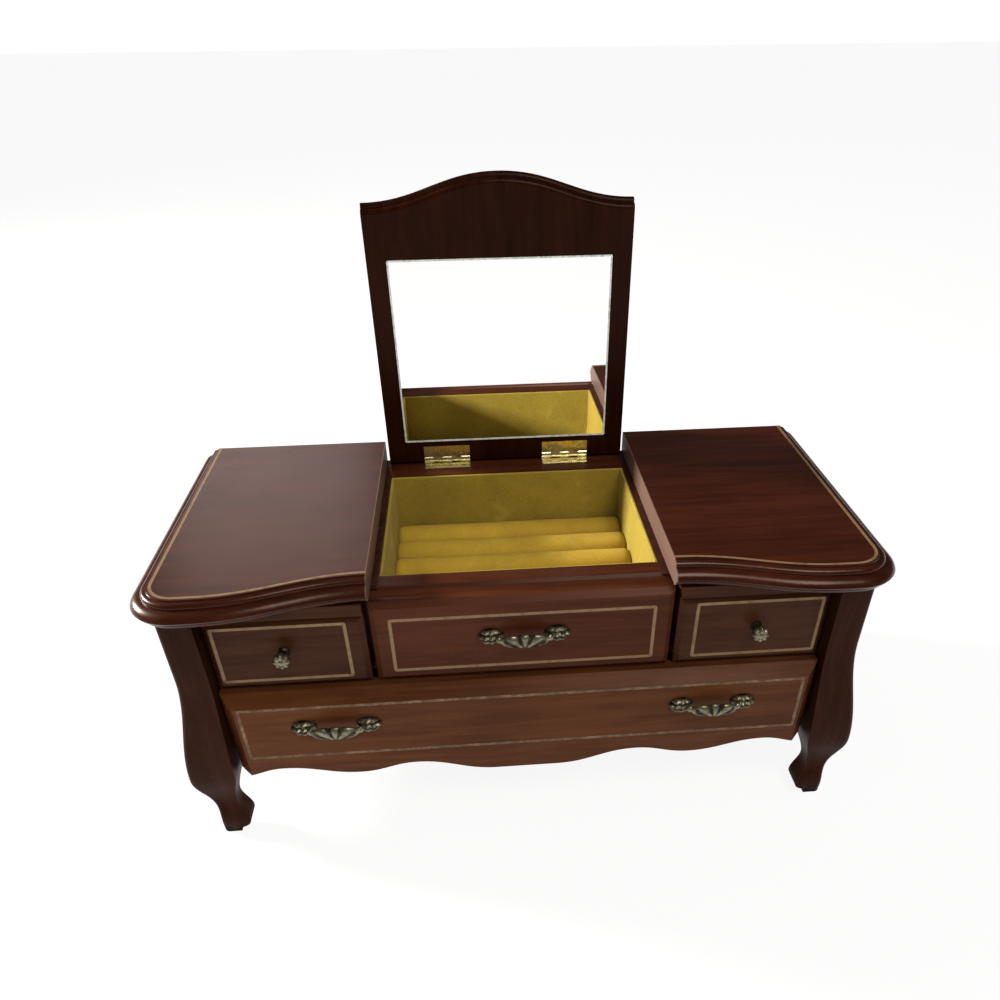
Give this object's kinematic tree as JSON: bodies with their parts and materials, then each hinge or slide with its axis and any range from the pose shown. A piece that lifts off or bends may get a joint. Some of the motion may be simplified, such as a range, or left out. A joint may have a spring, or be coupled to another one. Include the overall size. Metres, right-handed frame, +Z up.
{
  "type": "jewellery box",
  "caption": "Dresser-shaped vanity box with a lift-up mirror lid over a lined ring well, small upper drawers beside a false front, and a wide scalloped lower drawer on cabriole legs.",
  "frame": {"origin": "middle of the box's outline seen from above, with the lid open, at the height of the ground under the feet", "axes": "+X to the right as seen from the front, +Y to the back, +Z up; the drawers open towards -Y"},
  "size_m": [0.3328, 0.1653, 0.2708],
  "materials": {
    "case_wood": "dark red-brown stain under high-gloss lacquer, thin gold line painted inside the edges",
    "drawer_front_wood": "dark red-brown stain under high-gloss lacquer, thin gold line painted around the field",
    "inner_wood": "thin satin stain",
    "velvet": "old-gold velvet",
    "hinge_brass": "polished",
    "antique_brass": "darkened, rubbed bright on the high places",
    "screw_steel": "zinc plated",
    "mirror_glass": "silvered, ground edge"
  },
  "bodies": {
    "case": {"left_top": "case_wood", "right_top": "case_wood", "left_front_leg": "case_wood", "right_front_leg": "case_wood", "left_rear_leg": "case_wood", "right_rear_leg": "case_wood", "left_side_panel": "case_wood", "right_side_panel": "case_wood", "hinge_rail": "case_wood", "false_front": "case_wood", "left_frieze": "case_wood", "right_frieze": "case_wood", "well_front_wall": "case_wood", "left_partition": "case_wood", "right_partition": "case_wood", "back_panel": "inner_wood", "bottom_board": "inner_wood", "dust_panel": "inner_wood", "well_back_wall": "inner_wood", "left_upper_guide": "inner_wood", "right_upper_guide": "inner_wood", "left_lower_guide": "inner_wood", "right_lower_guide": "inner_wood", "well_lining": "velvet", "ring_rolls": "velvet", "left_hinge_case_leaf": "hinge_brass", "right_hinge_case_leaf": "hinge_brass", "left_hinge_pin": "hinge_brass", "right_hinge_pin": "hinge_brass", "hinge_case_screws": "hinge_brass", "false_front_pull": "antique_brass", "false_front_pull_screws": "screw_steel"},
    "lid": {"lid_board": "case_wood", "mirror_glass": "mirror_glass", "left_hinge_lid_leaf": "hinge_brass", "right_hinge_lid_leaf": "hinge_brass", "hinge_lid_screws": "hinge_brass"},
    "left_drawer": {"left_drawer_front": "drawer_front_wood", "left_drawer_left_side": "inner_wood", "left_drawer_right_side": "inner_wood", "left_drawer_back": "inner_wood", "left_drawer_bottom": "inner_wood", "left_drawer_knob": "antique_brass", "left_drawer_knob_screw": "screw_steel"},
    "right_drawer": {"right_drawer_front": "drawer_front_wood", "right_drawer_left_side": "inner_wood", "right_drawer_right_side": "inner_wood", "right_drawer_back": "inner_wood", "right_drawer_bottom": "inner_wood", "right_drawer_knob": "antique_brass", "right_drawer_knob_screw": "screw_steel"},
    "lower_drawer": {"lower_drawer_front": "drawer_front_wood", "lower_drawer_left_side": "inner_wood", "lower_drawer_right_side": "inner_wood", "lower_drawer_back": "inner_wood", "lower_drawer_bottom": "inner_wood", "lower_drawer_left_pull": "antique_brass", "lower_drawer_right_pull": "antique_brass", "lower_pull_screws": "screw_steel"}
  },
  "joints": [
    {"name": "lid_hinge", "type": "hinge", "parent": "case", "child": "lid", "pos_m": [0, 0.07104, 0.12975], "axis": [1, 0, 0], "range_deg": [0, 91]},
    {"name": "left_drawer_slide", "type": "slide", "parent": "case", "child": "left_drawer", "axis": [0, -1, 0], "range_m": [0, 0.08]},
    {"name": "right_drawer_slide", "type": "slide", "parent": "case", "child": "right_drawer", "axis": [0, -1, 0], "range_m": [0, 0.08]},
    {"name": "lower_drawer_slide", "type": "slide", "parent": "case", "child": "lower_drawer", "axis": [0, -1, 0], "range_m": [0, 0.09]}
  ]
}
